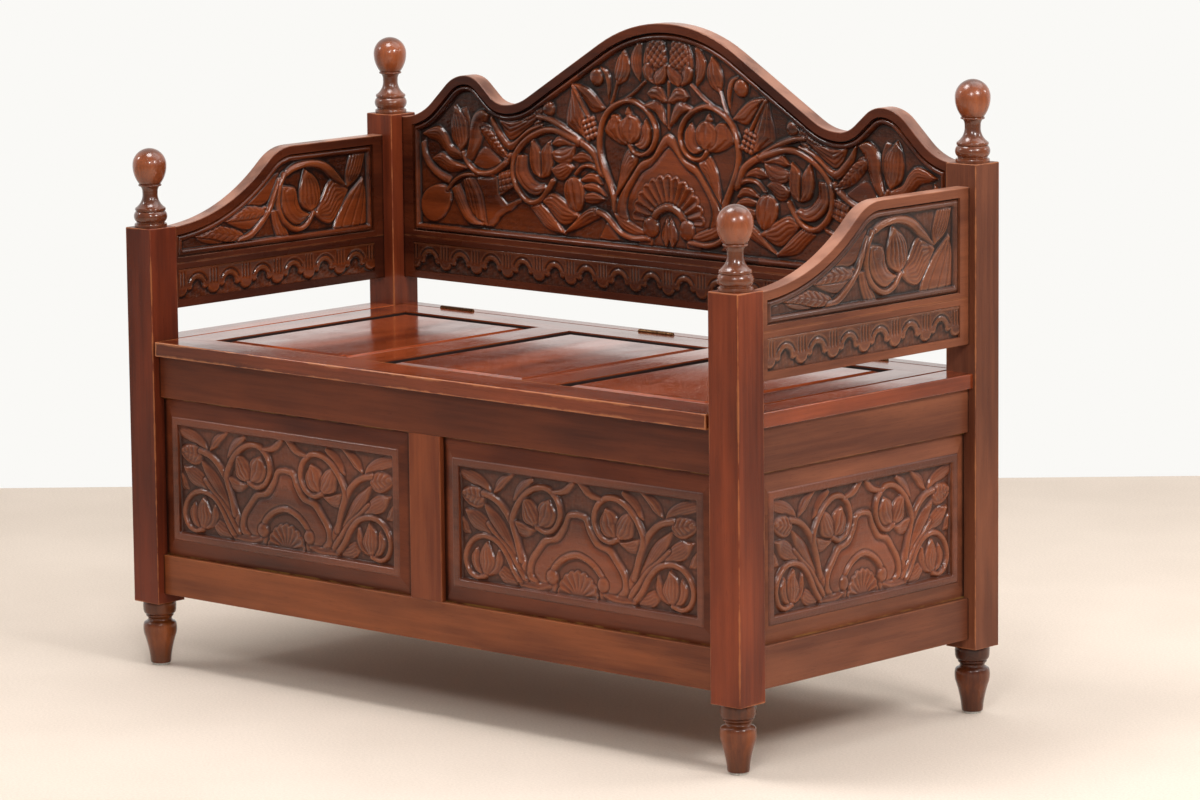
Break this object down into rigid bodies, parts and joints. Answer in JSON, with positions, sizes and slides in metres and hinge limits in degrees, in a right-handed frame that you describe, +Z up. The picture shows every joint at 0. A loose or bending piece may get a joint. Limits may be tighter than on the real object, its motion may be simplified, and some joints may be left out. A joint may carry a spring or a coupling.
{
  "type": "storage bench",
  "caption": "Panelled wooden storage bench with turned posts and feet, carved crested back and arms, carved box panels and a hinged seat lid.",
  "frame": {"origin": "centre of the footprint on the floor", "axes": "+X to the right along the front, +Y to the back, +Z up"},
  "size_m": [1.17, 0.548, 0.9309],
  "materials": {
    "frame_wood": "glossy reddish brown mahogany stain",
    "turned_wood": "glossy turned mahogany",
    "carved_wood": "darker glazed mahogany, carved in relief",
    "seat_wood": "polished mahogany",
    "inner_wood": "plain stained wood",
    "hinge_metal": "aged dark brass",
    "glide_plastic": "off-white nail-on glide"
  },
  "bodies": {
    "frame": {"front_left_post": "frame_wood", "front_left_finial": "turned_wood", "front_left_foot": "turned_wood", "front_right_post": "frame_wood", "front_right_finial": "turned_wood", "front_right_foot": "turned_wood", "rear_left_post": "frame_wood", "rear_left_finial": "turned_wood", "rear_left_foot": "turned_wood", "rear_right_post": "frame_wood", "rear_right_finial": "turned_wood", "rear_right_foot": "turned_wood", "front_top_rail": "frame_wood", "front_bottom_rail": "frame_wood", "front_muntin": "frame_wood", "rear_top_rail": "frame_wood", "rear_bottom_rail": "frame_wood", "rear_muntin": "frame_wood", "front_left_panel": "carved_wood", "rear_left_panel": "inner_wood", "left_side_top_rail": "frame_wood", "left_side_bottom_rail": "frame_wood", "left_side_panel": "carved_wood", "left_seat_strip": "seat_wood", "left_arm_board": "carved_wood", "left_arm_frieze_rail": "carved_wood", "front_right_panel": "carved_wood", "rear_right_panel": "inner_wood", "right_side_top_rail": "frame_wood", "right_side_bottom_rail": "frame_wood", "right_side_panel": "carved_wood", "right_seat_strip": "seat_wood", "right_arm_board": "carved_wood", "right_arm_frieze_rail": "carved_wood", "foot_glides": "glide_plastic", "box_floor": "inner_wood", "floor_cleats": "inner_wood", "hinge_rail": "seat_wood", "hinge_fixed_leaves": "hinge_metal", "hinge_pins": "hinge_metal", "fixed_leaf_screws": "hinge_metal", "back_board": "carved_wood", "back_frieze_rail": "carved_wood", "arm_dowels": "inner_wood", "back_dowels": "inner_wood"},
    "lid": {"lid_front_rail": "seat_wood", "lid_rear_rail": "seat_wood", "lid_left_stile": "seat_wood", "lid_right_stile": "seat_wood", "lid_left_muntin": "seat_wood", "lid_right_muntin": "seat_wood", "lid_left_panel": "seat_wood", "lid_center_panel": "seat_wood", "lid_right_panel": "seat_wood", "hinge_lid_leaves": "hinge_metal", "lid_leaf_screws": "hinge_metal"}
  },
  "joints": [
    {"name": "lid_hinge", "type": "hinge", "parent": "frame", "child": "lid", "pos_m": [0, 0.242, 0.482], "axis": [-1, 0, 0], "range_deg": [0, 90]}
  ]
}
